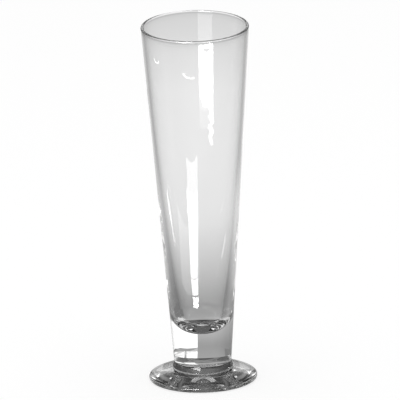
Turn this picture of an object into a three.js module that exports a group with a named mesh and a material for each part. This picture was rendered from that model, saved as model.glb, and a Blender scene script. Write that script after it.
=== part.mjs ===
// Beer goblet: a tall footed drinking glass, hot-joined from a bowl, a stem, a collar and a foot.
// Millimetres, +Z up. The origin lies on the table, under the middle of the foot.
import * as THREE from "three";

// Heights above the table
const GLASS_HEIGHT = 230;
const FOOT_HEIGHT = 7.2;
const COLLAR_HEIGHT = 4.8;
const STEM_HEIGHT = 9.8;

// Bowl: outer taper, rim and drinking space
const RIM_RADIUS = 33.9;
const RIM_BEAD = 0.95;
const RIM_BEAD_START = THREE.MathUtils.degToRad(-20);
const RIM_LIP_HEIGHT = 1.6;
const NECK_RADIUS = 33.7;
const WALL_AT_RIM = 1.8;
const WALL_AT_FLOOR = 6.2;
const WALL_FALL_OFF = 3.4;
const FLOOR_THICKNESS = 9.5;
const FLOOR_CURVE_HEIGHT = 13.5;
const FLOOR_CURVE_POWER = 2.6;

// Stem and collar
const STEM_RADIUS = 17.85;
const COLLAR_BULGE = 0.9;
const COLLAR_SEAT_RADIUS = 18.1;

// Foot
const FOOT_RADIUS = 33.8;
const FOOT_EDGE_RADIUS = 1.6;
const FOOT_EDGE_SLOPE = THREE.MathUtils.degToRad(26);
const FOOT_RING_WIDTH = 3.4;
const FOOT_HOLLOW_HEIGHT = 2.4;

// Facets
const FACETS_ROUND = 72;
const STEPS_WALL = 12;
const STEPS_FLOOR = 9;
const STEPS_STEM = 2;
const STEPS_RIM = 7;
const STEPS_COLLAR = 8;
const STEPS_EDGE = 10;
const STEPS_DOME = 8;

// Levels of the joints
const collarBottom = FOOT_HEIGHT;
const stemBottom = collarBottom + COLLAR_HEIGHT;
const bowlBottom = stemBottom + STEM_HEIGHT;

// Centre of the round bead that finishes the rim
const beadRadius = RIM_RADIUS - RIM_BEAD;
const beadLevel = GLASS_HEIGHT - RIM_BEAD;
const neckLevel = beadLevel - RIM_LIP_HEIGHT;

// Inside floor of the bowl, and the level where its rounding ends
const floorLevel = bowlBottom + FLOOR_THICKNESS;
const floorCurveTop = floorLevel + FLOOR_CURVE_HEIGHT;

// Outer radius of bowl and stem: one straight taper from the collar to the neck under the rim
function outerRadius(z) {
  return THREE.MathUtils.mapLinear(z, stemBottom, neckLevel, STEM_RADIUS, NECK_RADIUS);
}

// Wall of the bowl, thin under the rim and growing towards the floor
function wallThickness(z) {
  const depth = (neckLevel - z) / (neckLevel - floorCurveTop);
  return WALL_AT_RIM + (WALL_AT_FLOOR - WALL_AT_RIM) * depth ** WALL_FALL_OFF;
}

// Inner radius of the bowl: inside the wall above, closing on the floor like a rounded ellipse
function innerRadius(z) {
  const below = Math.max(0, floorCurveTop - z) / FLOOR_CURVE_HEIGHT;
  const closing = Math.max(0, 1 - below ** FLOOR_CURVE_POWER) ** (1 / FLOOR_CURVE_POWER);
  return (outerRadius(z) - wallThickness(z)) * closing;
}

// Points of a curve given by a function of t, for t from 0 to 1
function curve(pointAt, steps) {
  return Array.from({ length: steps + 1 }, (_, i) => pointAt(i / steps));
}

// Points of an arc in the profile plane, in radians from the outward direction
function arc(centreRadius, centreLevel, radius, from, to, steps) {
  return curve((t) => {
    const angle = THREE.MathUtils.lerp(from, to, t);
    return new THREE.Vector2(
      centreRadius + radius * Math.cos(angle),
      centreLevel + radius * Math.sin(angle),
    );
  }, steps);
}

// Points of a wall whose radius is a function of its level
function wall(radiusAt, from, to, steps) {
  return curve((t) => {
    const z = THREE.MathUtils.lerp(from, to, t);
    return new THREE.Vector2(radiusAt(z), z);
  }, steps);
}

// A solid of revolution about Z, from a profile that runs from the axis below to the axis above
function turned(name, profile, material) {
  const geometry = new THREE.LatheGeometry(profile, FACETS_ROUND);
  geometry.rotateX(Math.PI / 2);
  const mesh = new THREE.Mesh(geometry, material);
  mesh.name = name;
  return mesh;
}

function glass(color, roughness) {
  return new THREE.MeshStandardMaterial({ color, roughness, metalness: 0, transparent: true, opacity: 0.35 });
}

// Bowl: outer wall up, over the rim bead, inner wall down and across the rounded floor
function makeBowl() {
  const floorCurve = curve((t) => {
    const z = floorCurveTop - FLOOR_CURVE_HEIGHT * Math.sin((t * Math.PI) / 2) ** (2 / FLOOR_CURVE_POWER);
    return new THREE.Vector2(innerRadius(z), z);
  }, STEPS_FLOOR);
  const profile = [
    new THREE.Vector2(0, bowlBottom),
    ...wall(outerRadius, bowlBottom, neckLevel, STEPS_WALL),
    ...arc(beadRadius, beadLevel, RIM_BEAD, RIM_BEAD_START, Math.PI, STEPS_RIM),
    ...wall(innerRadius, neckLevel, floorCurveTop, STEPS_WALL),
    ...floorCurve.slice(1, -1),
    new THREE.Vector2(0, floorLevel),
  ];
  return turned("bowl", profile, glass(0xdfe2e2, 0.03));
}

// Stem: the short solid leg, on the same taper as the bowl
function makeStem() {
  const profile = [
    new THREE.Vector2(0, stemBottom),
    ...wall(outerRadius, stemBottom, bowlBottom, STEPS_STEM),
    new THREE.Vector2(0, bowlBottom),
  ];
  return turned("stem", profile, glass(0xd4d7d7, 0.03));
}

// Collar: a ring that swells out between its two seats
function makeCollar() {
  const bulge = curve((t) => {
    const straight = THREE.MathUtils.lerp(COLLAR_SEAT_RADIUS, STEM_RADIUS, t);
    const swell = COLLAR_BULGE * Math.sin(Math.PI * Math.sqrt(t));
    return new THREE.Vector2(straight + swell, collarBottom + COLLAR_HEIGHT * t);
  }, STEPS_COLLAR);
  const profile = [new THREE.Vector2(0, collarBottom), ...bulge, new THREE.Vector2(0, stemBottom)];
  return turned("collar", profile, glass(0xb9bdbd, 0.04));
}

// Foot: flat resting ring, rounded edge, one arc over the dome to the seat of the collar
function makeFoot() {
  const edgeRadius = FOOT_RADIUS - FOOT_EDGE_RADIUS;
  const edgeTurn = Math.PI / 2 - FOOT_EDGE_SLOPE;
  const edge = arc(edgeRadius, FOOT_EDGE_RADIUS, FOOT_EDGE_RADIUS, -Math.PI / 2, edgeTurn, STEPS_EDGE);

  // The dome's arc leaves the edge tangentially and ends on the rim of the seat
  const start = edge.at(-1);
  const seat = new THREE.Vector2(COLLAR_SEAT_RADIUS, FOOT_HEIGHT);
  const chord = seat.clone().sub(start);
  const inward = new THREE.Vector2(-Math.cos(edgeTurn), -Math.sin(edgeTurn));
  const domeRadius = chord.lengthSq() / (2 * chord.dot(inward));
  const centre = start.clone().addScaledVector(inward, domeRadius);
  const seatTurn = Math.atan2(seat.y - centre.y, seat.x - centre.x);
  const dome = arc(centre.x, centre.y, domeRadius, edgeTurn, seatTurn, STEPS_DOME).slice(1, -1);

  // The hollow under the foot is a shallow dish inside the resting ring
  const hollowRadius = edgeRadius - FOOT_RING_WIDTH;
  const hollow = curve((t) => {
    const radius = hollowRadius * t;
    return new THREE.Vector2(radius, FOOT_HOLLOW_HEIGHT * (1 - t ** 2));
  }, STEPS_DOME);

  const profile = [...hollow, ...edge, ...dome, seat, new THREE.Vector2(0, FOOT_HEIGHT)];
  return turned("foot", profile, glass(0xaeb2b2, 0.04));
}

const goblet = new THREE.Group();
goblet.name = "beer_goblet";
goblet.add(makeBowl(), makeStem(), makeCollar(), makeFoot());

export default goblet;
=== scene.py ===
"""Beer goblet in clear glass: the fused pieces with their true round surfaces, the studio and the camera.

Metres, +Z up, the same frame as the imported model. The glass is one body, "root".
"""
import math

import bpy
import numpy as np
from mathutils import Matrix, Vector


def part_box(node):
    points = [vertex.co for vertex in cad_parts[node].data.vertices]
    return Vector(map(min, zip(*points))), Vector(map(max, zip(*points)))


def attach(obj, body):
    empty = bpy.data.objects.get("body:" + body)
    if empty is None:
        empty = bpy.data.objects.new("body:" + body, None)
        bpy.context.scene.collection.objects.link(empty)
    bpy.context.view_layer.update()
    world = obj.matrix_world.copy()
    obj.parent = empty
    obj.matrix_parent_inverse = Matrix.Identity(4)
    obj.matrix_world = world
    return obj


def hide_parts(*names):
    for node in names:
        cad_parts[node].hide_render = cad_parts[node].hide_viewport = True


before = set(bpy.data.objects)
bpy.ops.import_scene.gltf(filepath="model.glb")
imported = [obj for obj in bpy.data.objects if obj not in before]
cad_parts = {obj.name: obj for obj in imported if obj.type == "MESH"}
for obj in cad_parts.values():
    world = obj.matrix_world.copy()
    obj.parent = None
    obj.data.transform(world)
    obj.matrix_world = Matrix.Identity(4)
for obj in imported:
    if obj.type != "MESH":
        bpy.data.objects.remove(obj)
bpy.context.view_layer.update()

MM = 0.001

# Levels and widest radii, read from the frame
FOOT_LOW, FOOT_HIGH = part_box("foot")
COLLAR_LOW, COLLAR_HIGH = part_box("collar")
STEM_LOW, STEM_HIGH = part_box("stem")
BOWL_LOW, BOWL_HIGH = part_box("bowl")

# Bowl: rim, outer taper, wall and rounded floor
RIM_BEAD = 0.95 * MM
RIM_BEAD_START = math.radians(-20)
RIM_LIP_HEIGHT = 1.6 * MM
NECK_RADIUS = 33.7 * MM
WALL_AT_RIM = 1.8 * MM
WALL_AT_FLOOR = 6.2 * MM
WALL_FALL_OFF = 3.4
FLOOR_THICKNESS = 9.5 * MM
FLOOR_CURVE_HEIGHT = 13.5 * MM
FLOOR_CURVE_POWER = 2.6

# Stem, collar and foot
STEM_RADIUS = 17.85 * MM
COLLAR_BULGE = 0.9 * MM
COLLAR_SEAT_RADIUS = 18.1 * MM
FOOT_EDGE_RADIUS = 1.6 * MM
FOOT_EDGE_SLOPE = math.radians(26)
FOOT_RING_WIDTH = 3.4 * MM
FOOT_HOLLOW_HEIGHT = 2.4 * MM

# What counts as a flat face, and as the same level in metres
FLAT_NORMAL = 0.999
SAME_LEVEL = 1e-6

# Points along each part of a profile, and round the axis
POINTS_ROUND = 256
POINTS_WALL = 70
POINTS_RIM = 25
POINTS_FLOOR = 48
POINTS_STEM = 12
POINTS_COLLAR = 33
POINTS_EDGE = 31
POINTS_DOME = 41

# Places on the bowl that follow from the values above
BEAD_RADIUS = BOWL_HIGH.x - RIM_BEAD
BEAD_LEVEL = BOWL_HIGH.z - RIM_BEAD
NECK_LEVEL = BEAD_LEVEL - RIM_LIP_HEIGHT
FLOOR_LEVEL = BOWL_LOW.z + FLOOR_THICKNESS
FLOOR_CURVE_TOP = FLOOR_LEVEL + FLOOR_CURVE_HEIGHT


def outer_radius(z):
    """Outer radius of bowl and stem: one straight taper from the collar to the neck under the rim."""
    t = (z - STEM_LOW.z) / (NECK_LEVEL - STEM_LOW.z)
    return STEM_RADIUS + (NECK_RADIUS - STEM_RADIUS) * t


def wall_thickness(z):
    """Wall of the bowl: its rim value plus a power of the depth below the neck."""
    depth = np.clip((NECK_LEVEL - z) / (NECK_LEVEL - FLOOR_CURVE_TOP), 0, None)
    return WALL_AT_RIM + (WALL_AT_FLOOR - WALL_AT_RIM) * depth**WALL_FALL_OFF


def inner_radius(z):
    """Inner radius of the bowl: outer radius less the wall, closed on the floor by a rounded ellipse,
    whose two parts raised to a power add up to one."""
    below = np.clip((FLOOR_CURVE_TOP - z) / FLOOR_CURVE_HEIGHT, 0, 1)
    closing = (1 - below**FLOOR_CURVE_POWER) ** (1 / FLOOR_CURVE_POWER)
    return (outer_radius(z) - wall_thickness(z)) * closing


def arc(centre, radius, start, end, count):
    """Points on a circle round centre, between two angles from the outward direction."""
    angle = np.linspace(start, end, count)
    return np.column_stack((centre[0] + radius * np.cos(angle), centre[1] + radius * np.sin(angle)))


def wall(radius_at, start, end, count):
    """Points of a wall whose radius is a function of its level."""
    z = np.linspace(start, end, count)
    return np.column_stack((radius_at(z), z))


def turned(name, profile, joints):
    """A closed surface of revolution: each profile point at radius r and level z sweeps the ring
    (r cos a, r sin a, z), and the two end points on the axis close it as fans.
    joints are the levels of the flat faces that are melted to a neighbour."""
    rings = profile[1:-1]
    angle = np.arange(POINTS_ROUND) * 2 * math.pi / POINTS_ROUND
    circle = np.column_stack((np.cos(angle), np.sin(angle)))
    ring_points = np.empty((len(rings), POINTS_ROUND, 3))
    ring_points[..., :2] = rings[:, 0, None, None] * circle
    ring_points[..., 2] = rings[:, 1, None]
    poles = np.array([[0, 0, profile[0, 1]], [0, 0, profile[-1, 1]]])
    points = np.vstack((ring_points.reshape(-1, 3), poles))

    here = np.arange(POINTS_ROUND)
    after = (here + 1) % POINTS_ROUND
    row = np.arange(len(rings) - 1)[:, None] * POINTS_ROUND
    quads = np.stack((row + here, row + after, row + after + POINTS_ROUND, row + here + POINTS_ROUND), -1)
    last_row = (len(rings) - 1) * POINTS_ROUND
    low_pole = len(points) - 2
    high_pole = len(points) - 1
    low_fan = np.column_stack((after, here, np.full(POINTS_ROUND, low_pole)))
    high_fan = np.column_stack((last_row + here, last_row + after, np.full(POINTS_ROUND, high_pole)))

    mesh = bpy.data.meshes.new(name)
    faces = quads.reshape(-1, 4).tolist() + low_fan.tolist() + high_fan.tolist()
    mesh.from_pydata(points.tolist(), [], faces)
    mesh.update(calc_edges=True)

    # Faces of a joint lie flat at its level and carry the second material
    joint_faces = np.zeros(len(mesh.polygons), bool)
    centres = np.empty(len(mesh.polygons) * 3)
    mesh.polygons.foreach_get("center", centres)
    normals = np.empty(len(mesh.polygons) * 3)
    mesh.polygons.foreach_get("normal", normals)
    flat = np.abs(normals.reshape(-1, 3)[:, 2]) > FLAT_NORMAL
    for level in joints:
        joint_faces |= flat & (np.abs(centres.reshape(-1, 3)[:, 2] - level) < SAME_LEVEL)
    mesh.polygons.foreach_set("material_index", joint_faces.astype(np.int32))
    mesh.polygons.foreach_set("use_smooth", ~joint_faces)

    # A crease runs round each flat joint face
    ends = np.empty(len(mesh.edges) * 2, np.int32)
    mesh.edges.foreach_get("vertices", ends)
    end_levels = points[ends.reshape(-1, 2), 2]
    ring_edge = np.abs(end_levels[:, 0] - end_levels[:, 1]) < SAME_LEVEL
    crease = np.zeros(len(mesh.edges), bool)
    for level in joints:
        crease |= ring_edge & (np.abs(end_levels[:, 0] - level) < SAME_LEVEL)
    sharp = mesh.attributes.new("sharp_edge", "BOOLEAN", "EDGE")
    sharp.data.foreach_set("value", crease)

    piece = bpy.data.objects.new(name, mesh)
    bpy.context.scene.collection.objects.link(piece)
    return piece


def bowl_profile():
    """Up the outer taper, over the round rim bead, down the inner wall and across the rounded floor."""
    floor_turn = np.linspace(0, math.pi / 2, POINTS_FLOOR)[1:-1]
    floor_z = FLOOR_CURVE_TOP - FLOOR_CURVE_HEIGHT * np.sin(floor_turn) ** (2 / FLOOR_CURVE_POWER)
    return np.vstack((
        [[0, BOWL_LOW.z]],
        wall(outer_radius, BOWL_LOW.z, NECK_LEVEL, POINTS_WALL),
        arc((BEAD_RADIUS, BEAD_LEVEL), RIM_BEAD, RIM_BEAD_START, math.pi, POINTS_RIM),
        wall(inner_radius, NECK_LEVEL, FLOOR_CURVE_TOP, POINTS_WALL),
        np.column_stack((inner_radius(floor_z), floor_z)),
        [[0, FLOOR_LEVEL]],
    ))


def stem_profile():
    """The bowl's taper carried on between the two joints."""
    return np.vstack((
        [[0, STEM_LOW.z]],
        wall(outer_radius, STEM_LOW.z, STEM_HIGH.z, POINTS_STEM),
        [[0, STEM_HIGH.z]],
    ))


def collar_profile():
    """A straight line between the seats, swollen by the sine of the square root of the height."""
    t = np.linspace(0, 1, POINTS_COLLAR)
    radius = COLLAR_SEAT_RADIUS + (STEM_RADIUS - COLLAR_SEAT_RADIUS) * t
    radius += COLLAR_BULGE * np.sin(math.pi * np.sqrt(t))
    level = COLLAR_LOW.z + (COLLAR_HIGH.z - COLLAR_LOW.z) * t
    return np.vstack(([[0, COLLAR_LOW.z]], np.column_stack((radius, level)), [[0, COLLAR_HIGH.z]]))


def foot_profile():
    """A parabolic hollow, the flat resting ring, the round edge and one arc over the dome to the seat."""
    edge_radius = FOOT_HIGH.x - FOOT_EDGE_RADIUS
    edge_turn = math.pi / 2 - FOOT_EDGE_SLOPE
    edge_centre = (edge_radius, FOOT_LOW.z + FOOT_EDGE_RADIUS)
    edge = arc(edge_centre, FOOT_EDGE_RADIUS, -math.pi / 2, edge_turn, POINTS_EDGE)
    seat = np.array([COLLAR_SEAT_RADIUS, FOOT_HIGH.z])
    chord = seat - edge[-1]
    inward = -np.array([math.cos(edge_turn), math.sin(edge_turn)])
    dome_radius = chord @ chord / (2 * chord @ inward)
    centre = edge[-1] + dome_radius * inward
    seat_turn = math.atan2(seat[1] - centre[1], seat[0] - centre[0])
    dome = arc(centre, dome_radius, edge_turn, seat_turn, POINTS_DOME)[1:]
    t = np.linspace(0, 1, POINTS_DOME)
    hollow_radius = edge_radius - FOOT_RING_WIDTH
    hollow = np.column_stack((hollow_radius * t, FOOT_LOW.z + FOOT_HOLLOW_HEIGHT * (1 - t**2)))
    return np.vstack((hollow, edge, dome, [[0, FOOT_HIGH.z]]))


# Glass: faint upright waves from the hot work
WAVE_SCALE = (90, 90, 12)
WAVE_DETAIL = 1.5
WAVE_STRENGTH = 0.25
WAVE_HEIGHT = 0.15 * MM
GLASS_IOR = 1.51
# Greys of the one glass, piece by piece, darker on the collar and the foot: painted shade
PAINTED_SHADE_GREYS = {"bowl": 0.99, "stem": 0.985, "collar": 0.92, "foot": 0.85}


def new_material(name):
    material = bpy.data.materials.new(name)
    material.use_nodes = True
    material.node_tree.nodes.clear()
    return material, material.node_tree.nodes, material.node_tree.links


def clear_glass(name, painted_grey):
    """Fire-polished glass, greyed by a given painted shade, whose surface is unsettled by a stretched noise.
    """
    material, nodes, links = new_material(name)
    place = nodes.new("ShaderNodeTexCoord")
    stretch = nodes.new("ShaderNodeMapping")
    stretch.inputs["Scale"].default_value = WAVE_SCALE
    links.new(place.outputs["Object"], stretch.inputs["Vector"])
    waves = nodes.new("ShaderNodeTexNoise")
    waves.inputs["Scale"].default_value = 1
    waves.inputs["Detail"].default_value = WAVE_DETAIL
    links.new(stretch.outputs["Vector"], waves.inputs["Vector"])
    relief = nodes.new("ShaderNodeBump")
    relief.inputs["Strength"].default_value = WAVE_STRENGTH
    relief.inputs["Distance"].default_value = WAVE_HEIGHT
    links.new(waves.outputs["Fac"], relief.inputs["Height"])
    glass = nodes.new("ShaderNodeBsdfPrincipled")
    glass.inputs["Base Color"].default_value = (painted_grey, painted_grey, painted_grey, 1)
    glass.inputs["Roughness"].default_value = 0.0
    glass.inputs["IOR"].default_value = GLASS_IOR
    glass.inputs["Transmission Weight"].default_value = 1.0
    links.new(relief.outputs["Normal"], glass.inputs["Normal"])
    out = nodes.new("ShaderNodeOutputMaterial")
    links.new(glass.outputs["BSDF"], out.inputs["Surface"])
    return material


def melted_joint():
    """The inside of a hot joint, where glass passes into glass and nothing shows."""
    material, nodes, links = new_material("melted_joint")
    through = nodes.new("ShaderNodeBsdfTransparent")
    out = nodes.new("ShaderNodeOutputMaterial")
    links.new(through.outputs["BSDF"], out.inputs["Surface"])
    return material


def glass_piece(node, profile, joints, joint_glass):
    """One fused piece in its own copy of the glass, greyed by painted shade, in place of the node of that
    name, with clear joint faces.
    """
    piece = turned("goblet_" + node, profile, joints)
    piece.data.materials.append(clear_glass(node + "_glass", PAINTED_SHADE_GREYS[node]))
    piece.data.materials.append(joint_glass)
    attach(piece, "root")
    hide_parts(node)


def make_goblet():
    joint_glass = melted_joint()
    glass_piece("bowl", bowl_profile(), [BOWL_LOW.z], joint_glass)
    glass_piece("stem", stem_profile(), [STEM_LOW.z, STEM_HIGH.z], joint_glass)
    glass_piece("collar", collar_profile(), [COLLAR_LOW.z, COLLAR_HIGH.z], joint_glass)
    glass_piece("foot", foot_profile(), [FOOT_HIGH.z], joint_glass)


make_goblet()

# Floor: white for the camera with the goblet's soft shadow, a grey sweep for what the glass shows of it
FLOOR_SIZE = 12.0
FLOOR_DROP = 0.2 * MM
FLOOR_GLOW = 0.76
FLOOR_PAINT = 0.3
SWEEP_REACH = 3.0

# Greys of the floor by the distance from the goblet's axis in metres
SWEEP_LEVELS = (
    (0.0, 0.5), (0.035, 0.5), (0.05, 0.45), (0.07, 0.4), (0.11, 0.35), (0.155, 0.52), (0.2, 0.66),
    (0.24, 0.76), (0.282, 0.86), (0.325, 0.9), (0.45, 0.92), (0.6, 0.92), (0.68, 0.84), (0.726, 0.76),
    (0.78, 0.7), (1.05, 0.42), (3.0, 0.42),
)

# Levels by the turn in degrees from the back to the right, near the goblet and far off
FLOOR_NEAR_TURNS = (
    (-180, 0.4), (-110, 0.5), (-60, 0.62), (-35, 0.75), (-12, 1.0), (12, 1.0), (35, 1.05), (60, 0.75),
    (110, 0.5), (180, 0.4),
)
FLOOR_FAR_TURNS = (
    (-180, 1.0), (-155, 0.8), (-135, 0.6), (-110, 0.6), (-50, 0.5), (-32, 0.55), (-12, 1.0), (12, 1.0),
    (20, 0.85), (30, 0.6), (60, 0.55), (90, 0.5), (135, 0.6), (180, 1.0),
)
FLOOR_FADE = (0.22, 0.42)

# The oval shade under the goblet, as its glass shows it
SHADE_HALVES = (22 * MM, 44 * MM)
SHADE_EDGE = (0.85, 1.1)
SHADE_LEVEL = 0.05

# How many glass surfaces a ray has met: mirrored once, through the leg, straight through the bowl, and
# more than four, as in the thick foot
MIRRORED_ONCE = 1
THROUGH_LEG = 2
THROUGH_BOWL = 4
DEEP_COUNT = 4.5

# The far floor turns dark for rays as deep as that
DEEP_FADE = (0.78, 0.85)
DEEP_LEVELS = (0.4, 0.05)

# The room as glass shows it, by the sine of the elevation, with its turns low down and overhead
ROOM_LEVELS = ((0.0, 0.12), (0.08, 0.7), (0.26, 0.8), (0.38, 0.4), (0.5, 0.25), (0.9, 0.25), (1.0, 0.1))
ROOM_LOW_TURNS = (
    (-180, 0.8), (-80, 1.0), (-45, 0.5), (-20, 0.25), (0, 0.2), (20, 0.25), (45, 0.5), (80, 0.8), (180, 0.8),
)
ROOM_HIGH_TURNS = (
    (-180, 0.7), (-150, 0.7), (-110, 0.3), (-40, 0.1), (-14, 0.6), (14, 0.6), (40, 0.1), (110, 0.3),
    (150, 0.7), (180, 0.7),
)
ROOM_FADE = (0.35, 0.5)
ROOM_PLAIN = 0.6


def math_of(nodes, links, operation, first, second):
    """One step of arithmetic on two values, each a socket or a number."""
    node = nodes.new("ShaderNodeMath")
    node.operation = operation
    for socket, value in zip(node.inputs, (first, second)):
        if isinstance(value, (int, float)):
            socket.default_value = value
        else:
            links.new(value, socket)
    return node.outputs[0]


def spread_of(nodes, links, value, span, levels=(0, 1), smooth=True):
    """A value carried from one span to another and held at the ends."""
    node = nodes.new("ShaderNodeMapRange")
    node.interpolation_type = "SMOOTHSTEP" if smooth else "LINEAR"
    node.inputs["From Min"].default_value, node.inputs["From Max"].default_value = span
    node.inputs["To Min"].default_value, node.inputs["To Max"].default_value = levels
    links.new(value, node.inputs["Value"])
    return node.outputs[0]


def length_of(nodes, links, vector):
    """The length of a vector."""
    length = nodes.new("ShaderNodeVectorMath")
    length.operation = "LENGTH"
    links.new(vector, length.inputs[0])
    return length.outputs["Value"]


def grey_ramp(nodes, links, value, stops, start, reach):
    """A grey by a value, with its stops at places between start and start + reach."""
    ramp = nodes.new("ShaderNodeValToRGB")
    elements = ramp.color_ramp.elements
    while len(elements) < len(stops):
        elements.new(0.5)
    for element, (at, level) in zip(elements, stops):
        element.position = (at - start) / reach
        element.color = (level, level, level, 1)
    links.new(spread_of(nodes, links, value, (start, start + reach), smooth=False), ramp.inputs["Fac"])
    return ramp.outputs["Color"]


def round_tone(nodes, links, place, measure, reach, levels, low_turns, high_turns, fade):
    """A grey that depends on one measure, times a level by the turn round Z that goes over, along
    the measure, from the low turns to the high ones."""
    sweep = grey_ramp(nodes, links, measure, levels, 0, reach)
    axes = nodes.new("ShaderNodeSeparateXYZ")
    links.new(place, axes.inputs[0])
    radians = math_of(nodes, links, "ARCTAN2", axes.outputs["X"], axes.outputs["Y"])
    turn = math_of(nodes, links, "DEGREES", radians, 0)
    sides = nodes.new("ShaderNodeMix")
    sides.data_type = "RGBA"
    links.new(spread_of(nodes, links, measure, fade), sides.inputs["Factor"])
    links.new(grey_ramp(nodes, links, turn, low_turns, -180, 360), sides.inputs["A"])
    links.new(grey_ramp(nodes, links, turn, high_turns, -180, 360), sides.inputs["B"])
    tone = nodes.new("ShaderNodeMix")
    tone.data_type = "RGBA"
    tone.blend_type = "MULTIPLY"
    tone.inputs["Factor"].default_value = 1
    links.new(sweep, tone.inputs["A"])
    links.new(sides.outputs["Result"], tone.inputs["B"])
    return tone.outputs["Result"]


def through_glass(nodes, links):
    """1 on rays that a glass surface has mirrored or let through, 0 on all others."""
    path = nodes.new("ShaderNodeLightPath").outputs
    return math_of(nodes, links, "MAXIMUM", path["Is Glossy Ray"], path["Is Transmission Ray"])


def pick_between(nodes, links, factor, first, second):
    """The first shader where the factor is 0 and the second where it is 1."""
    pick = nodes.new("ShaderNodeMixShader")
    links.new(factor, pick.inputs[0])
    links.new(first, pick.inputs[1])
    links.new(second, pick.inputs[2])
    return pick.outputs[0]


def flat_mesh(name, corners):
    """One flat face between its corners, as a piece of the studio."""
    mesh = bpy.data.meshes.new(name)
    mesh.from_pydata(corners, [], [tuple(range(len(corners)))])
    flat = bpy.data.objects.new(name, mesh)
    bpy.context.scene.collection.objects.link(flat)
    return flat


def floor_strength(nodes, links, place, distance):
    """The shade under the goblet, times the dark that deep rays see on the floor."""
    squeeze = nodes.new("ShaderNodeVectorMath")
    squeeze.operation = "MULTIPLY"
    squeeze.inputs[1].default_value = (1 / SHADE_HALVES[0], 1 / SHADE_HALVES[1], 0)
    links.new(place, squeeze.inputs[0])
    shade = spread_of(nodes, links, length_of(nodes, links, squeeze.outputs[0]), SHADE_EDGE, (SHADE_LEVEL, 1))
    count = nodes.new("ShaderNodeLightPath").outputs["Ray Depth"]
    deep = nodes.new("ShaderNodeMix")
    deep.inputs["A"].default_value = 1
    links.new(math_of(nodes, links, "GREATER_THAN", count, DEEP_COUNT), deep.inputs["Factor"])
    links.new(spread_of(nodes, links, distance, DEEP_FADE, DEEP_LEVELS), deep.inputs["B"])
    return math_of(nodes, links, "MULTIPLY", shade, deep.outputs[0])


def make_floor():
    """A pale floor for the camera, and for the glass greys by distance and by turn."""
    half = FLOOR_SIZE / 2
    sides = ((-half, -half), (half, -half), (half, half), (-half, half))
    floor = flat_mesh("floor", [(x, y, -FLOOR_DROP) for x, y in sides])
    material, nodes, links = new_material("floor")
    place = nodes.new("ShaderNodeTexCoord").outputs["Object"]
    distance = length_of(nodes, links, place)
    tone = round_tone(nodes, links, place, distance, SWEEP_REACH, SWEEP_LEVELS,
                      FLOOR_NEAR_TURNS, FLOOR_FAR_TURNS, FLOOR_FADE)
    seen = nodes.new("ShaderNodeEmission")
    links.new(tone, seen.inputs["Color"])
    links.new(floor_strength(nodes, links, place, distance), seen.inputs["Strength"])
    white = nodes.new("ShaderNodeEmission")
    white.inputs["Strength"].default_value = FLOOR_GLOW
    matt = nodes.new("ShaderNodeBsdfDiffuse")
    matt.inputs["Color"].default_value = (FLOOR_PAINT, FLOOR_PAINT, FLOOR_PAINT, 1)
    plain = nodes.new("ShaderNodeAddShader")
    links.new(white.outputs[0], plain.inputs[0])
    links.new(matt.outputs[0], plain.inputs[1])
    out = nodes.new("ShaderNodeOutputMaterial")
    shown = pick_between(nodes, links, through_glass(nodes, links), plain.outputs[0], seen.outputs[0])
    links.new(shown, out.inputs["Surface"])
    floor.data.materials.append(material)


def make_world():
    """White for the camera, plain light for the floor, and for the glass a room with a dim ceiling."""
    world = bpy.data.worlds.new("studio")
    world.use_nodes = True
    nodes, links = world.node_tree.nodes, world.node_tree.links
    nodes.clear()
    white = nodes.new("ShaderNodeBackground")
    white.inputs["Color"].default_value = (1, 1, 1, 1)
    plain = nodes.new("ShaderNodeBackground")
    plain.inputs["Color"].default_value = (ROOM_PLAIN, ROOM_PLAIN, ROOM_PLAIN, 1)
    place = nodes.new("ShaderNodeTexCoord").outputs["Generated"]
    axes = nodes.new("ShaderNodeSeparateXYZ")
    links.new(place, axes.inputs[0])
    tone = round_tone(nodes, links, place, axes.outputs["Z"], 1, ROOM_LEVELS,
                      ROOM_LOW_TURNS, ROOM_HIGH_TURNS, ROOM_FADE)
    room = nodes.new("ShaderNodeBackground")
    links.new(tone, room.inputs["Color"])
    inside = pick_between(nodes, links, through_glass(nodes, links), plain.outputs[0], room.outputs[0])
    direct = nodes.new("ShaderNodeLightPath").outputs["Is Camera Ray"]
    out = nodes.new("ShaderNodeOutputWorld")
    links.new(pick_between(nodes, links, direct, inside, white.outputs[0]), out.inputs["Surface"])
    bpy.context.scene.world = world


make_floor()
make_world()

# Cards that overlap lie at levels of their own, all of them above the floor
GLOW_LEVEL = -0.05 * MM
PATCH_LEVEL = -0.1 * MM

# How far off the panels of the room stand
ROOM_RADIUS = 2.0


def flat_corners(corners, level=0.0):
    """Corners given in millimetres on the floor."""
    return [(x * MM, y * MM, level) for x, y in corners]


def back_corners(corners, level=0.0):
    """Corners given as turns in degrees from the back, to the right, and distances in millimetres."""
    return [
        (reach * MM * math.sin(math.radians(turn)), reach * MM * math.cos(math.radians(turn)), level)
        for turn, reach in corners
    ]


def front_corners(corners, level=0.0):
    """Corners given as turns in degrees from the front, to the right, and distances in millimetres."""
    return back_corners([(180 - turn, reach) for turn, reach in corners], level)


def upright_corners(start, end, low, high):
    """A rectangle that stands between two places on the floor and two heights, all in millimetres."""
    return [(x * MM, y * MM, z * MM) for (x, y), z in ((start, low), (end, low), (end, high), (start, high))]


def room_corners(turns, heights):
    """A rectangle far off in the room, between two turns from the back to the right and two
    elevations, all in degrees."""
    corners = []
    for turn, height in ((0, 0), (1, 0), (1, 1), (0, 1)):
        aside, up = math.radians(turns[turn]), math.radians(heights[height])
        corners.append((
            ROOM_RADIUS * math.sin(aside) * math.cos(up),
            ROOM_RADIUS * math.cos(aside) * math.cos(up),
            ROOM_RADIUS * math.sin(up),
        ))
    return corners


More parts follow.
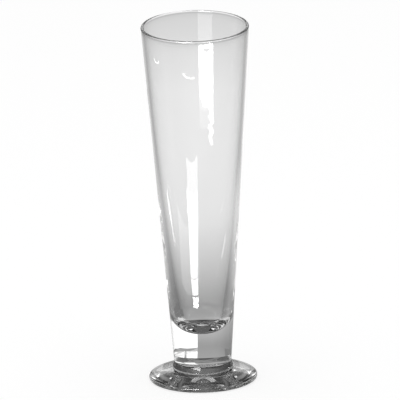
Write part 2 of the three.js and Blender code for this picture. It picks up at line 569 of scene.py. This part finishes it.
def make_card(name, corners, strength, mirrored_only=False):
    """A lit card that only glass shows, or only the outer face of the glass."""
    card = flat_mesh(name, corners)
    card.visible_camera = False
    card.visible_transmission = not mirrored_only
    card.visible_diffuse = False
    card.visible_shadow = False
    material, nodes, links = new_material(name)
    glow = nodes.new("ShaderNodeEmission")
    glow.name = "glow"
    glow.inputs["Strength"].default_value = strength
    out = nodes.new("ShaderNodeOutputMaterial")
    out.name = "out"
    links.new(glow.outputs[0], out.inputs["Surface"])
    card.data.materials.append(material)
    return card


def limit_card(card, test, surfaces, hidden=False):
    """Shows a card, or hides it, only on rays whose count of glass surfaces so far passes a test."""
    nodes, links = card.data.materials[0].node_tree.nodes, card.data.materials[0].node_tree.links
    count = nodes.new("ShaderNodeLightPath").outputs["Ray Depth"]
    passed = math_of(nodes, links, test, count, surfaces)
    clear = nodes.new("ShaderNodeBsdfTransparent").outputs[0]
    glow = nodes["glow"].outputs[0]
    ends = (glow, clear) if hidden else (clear, glow)
    links.new(pick_between(nodes, links, passed, *ends), nodes["out"].inputs["Surface"])


def make_pane(name, corners, strength):
    """A pane that shows only through solid glass that is entered and left once, as the leg is."""
    limit_card(make_card(name, corners, strength), "COMPARE", THROUGH_LEG)


def make_flag(name, corners, strength):
    """A dark flag that shows only after more than four surfaces, as in the thick edge of the foot."""
    limit_card(make_card(name, corners, strength), "GREATER_THAN", DEEP_COUNT)


def make_window(name, corners, strength):
    """A bright window that the walls of the bowl mirror, but which doesn't show straight through them."""
    limit_card(make_card(name, corners, strength), "COMPARE", THROUGH_BOWL, True)


# The window, whose image runs down the upper glass as a bright strip with a ragged end
window_step = ((12, 424), (15, 437), (39, 437), (39, 413), (30, 413), (27, 424), (21, 428), (18, 420))
window_zigzag = (
    (31, 413), (36, 404), (27, 397), (35, 388), (26, 380), (33, 367), (40, 371), (34, 380), (42, 388),
    (34, 397), (42, 405), (39, 413),
)
make_window("window_high", front_corners(((7, 437), (7, 520), (39, 520), (39, 437))), 14)
make_window("window_step", front_corners(window_step), 14)
make_window("window_zigzag", front_corners(window_zigzag), 10)
make_card("window_low", upright_corners((-60, -500), (-330, -380), 80, 170), 1.7)

# Cards nearer on the floor, whose images make the lower strip with its two thin breaks
make_card("strip_fade", front_corners(((-30, 302), (-30, 352), (-1, 352), (-3, 302))), 5, True)
make_card("strip_far", front_corners(((-31, 225), (-30, 300), (-3, 300), (-7, 225))), 12, True)
make_card("strip_long", front_corners(((-31, 175), (-31, 225), (-7, 225), (-9, 175))), 14, True)
make_card("strip_middle", front_corners(((-28, 149), (-30, 173), (-9, 173), (-9, 149))), 16, True)
make_card("strip_near", front_corners(((-26, 130), (-27, 146), (-9, 146), (-9, 130))), 26, True)
strip_glow = ((-62, 170), (-62, 290), (0, 290), (-4, 170))
make_card("strip_glow", front_corners(strip_glow, GLOW_LEVEL), 2, True)

# Rods and slips that show as thin streaks and sparks on the wall
left_rod = ((-326, 35), (-290, -6), (-228, -40), (-226, -34), (-276, 2), (-306, 38))
right_rod = ((236, -34), (188, -76), (194, -84), (248, -44))
left_spark = ((-532, 130), (-527, -10), (-524.5, -10), (-529.5, 130))
front_spark = ((-224, -419), (-127, -447), (-30, -463), (-30, -460.5), (-127, -444), (-224, -414))
make_card("left_rod", flat_corners(left_rod), 8, True)
make_card("right_rod", flat_corners(right_rod), 3.5, True)
make_card("left_spark", flat_corners(left_spark), 10, True)
make_card("front_spark", flat_corners(front_spark), 10, True)

# Glowing patches round and under the foot, painted light on the table and one dim one, which its ends and the
# floor of the bowl show
left_patch = (
    (-22, 36), (-50, 42), (-62, 0), (-50, -38), (-14, -58), (-12, -47), (-32, -30), (-32, -8), (-24, 8),
)
right_patch = ((20, 36), (36, 32), (45, 4), (27, -4), (22, 8))
under_patch = ((-17, -22), (17, -22), (17, -10), (9, 2), (11, 31), (-11, 31), (-9, 2), (-17, -10))
left_glint = ((-24, -9), (-18.5, -9), (-18.5, 6), (-24, 6))
right_glint = ((18.5, -9), (25, -9), (24, 6), (18.5, 6))
dim_patch = ((-80, 62), (-80, 98), (-55, 98), (-30, 98), (-30, 62), (-55, 62))
make_card("left_patch", flat_corners(left_patch, PATCH_LEVEL), 0.8)
make_card("right_patch", flat_corners(right_patch, PATCH_LEVEL), 0.6)
make_card("under_patch", flat_corners(under_patch, PATCH_LEVEL), 0.12)
make_card("left_glint", flat_corners(left_glint, PATCH_LEVEL), 1.5)
make_card("right_glint", flat_corners(right_glint, PATCH_LEVEL), 1.5)
make_card("dim_patch", back_corners(dim_patch, PATCH_LEVEL), 0.2)

# Flags that darken the foot's front edge
low_cover = ((-45, 40), (45, 40), (60, 140), (-60, 140))
make_flag("low_cover", flat_corners(low_cover, GLOW_LEVEL), 0.08)
make_flag("low_flag", upright_corners((-60, 45), (5, 45), 0, 6), 0.02)

# Panels in the room for the ends of the foot, and one that shows only as a first mirror image
make_card("panel_back", room_corners((-22, 22), (16, 25)), 1.3)
make_card("panel_right", room_corners((70, 90), (17, 22)), 2.5)
make_card("panel_left", room_corners((-95, -72), (10, 16)), 2.0)
panel_front = make_card("panel_front", room_corners((192, 225), (20, 80)), 12)
limit_card(panel_front, "COMPARE", MIRRORED_ONCE)

# Panes behind the goblet, which its solid leg turns over to the left
pane_right = ((21, 40), (21, 92), (50, 92), (80, 92), (80, 40), (50, 40))
pane_far = ((5, 103), (5, 250), (80, 250), (80, 103), (50, 103), (30, 103))
pane_bar = ((5, 93), (5, 102), (80, 102), (80, 93), (50, 93), (30, 93))
make_pane("pane_left", back_corners(((5, 40), (5, 92), (18, 92), (15, 40))), 1.3)
make_pane("pane_right", back_corners(pane_right), 1.3)
make_pane("pane_far", back_corners(pane_far), 1.3)
make_pane("pane_bar", back_corners(pane_bar), 0.6)

# Camera: far off and level with no perspective, looking a little down on the rim, rolled a touch
CAMERA_RISE = math.radians(17.2)
CAMERA_ROLL = math.radians(1.4)
CAMERA_DISTANCE = 3.0
CAMERA_CLIP = 20
FRAME_WIDTH = 0.2498
CAMERA_AIM = Vector((0.65 * MM, 0, 116 * MM))


def make_camera():
    data = bpy.data.cameras.new("camera")
    data.type = "ORTHO"
    data.ortho_scale = FRAME_WIDTH
    data.clip_end = CAMERA_CLIP
    camera = bpy.data.objects.new("camera", data)
    bpy.context.scene.collection.objects.link(camera)
    tilt = Matrix.Rotation(math.pi / 2 - CAMERA_RISE, 4, "X")
    roll = Matrix.Rotation(-CAMERA_ROLL, 4, "Z")
    back = Vector((0, -math.cos(CAMERA_RISE), math.sin(CAMERA_RISE)))
    camera.matrix_world = Matrix.Translation(CAMERA_AIM + back * CAMERA_DISTANCE) @ tilt @ roll
    bpy.context.scene.camera = camera


# One large soft lamp overhead, which gives the floor the goblet's shadow
LAMP_HEIGHT = 1.5
LAMP_WIDTH = 1.2
LAMP_POWER = 6


def make_lamp():
    data = bpy.data.lights.new("soft_lamp", "AREA")
    data.size = LAMP_WIDTH
    data.energy = LAMP_POWER
    lamp = bpy.data.objects.new("soft_lamp", data)
    lamp.location = (0, 0, LAMP_HEIGHT)
    lamp.visible_glossy = False
    lamp.visible_transmission = False
    bpy.context.scene.collection.objects.link(lamp)


make_camera()
make_lamp()
bpy.context.scene.view_settings.view_transform = "Standard"

# Light runs to and fro very many times inside the thick foot and round the rim before it leaves
BOUNCES = 200
bpy.context.scene.cycles.max_bounces = BOUNCES
bpy.context.scene.cycles.glossy_bounces = BOUNCES
bpy.context.scene.cycles.transmission_bounces = BOUNCES
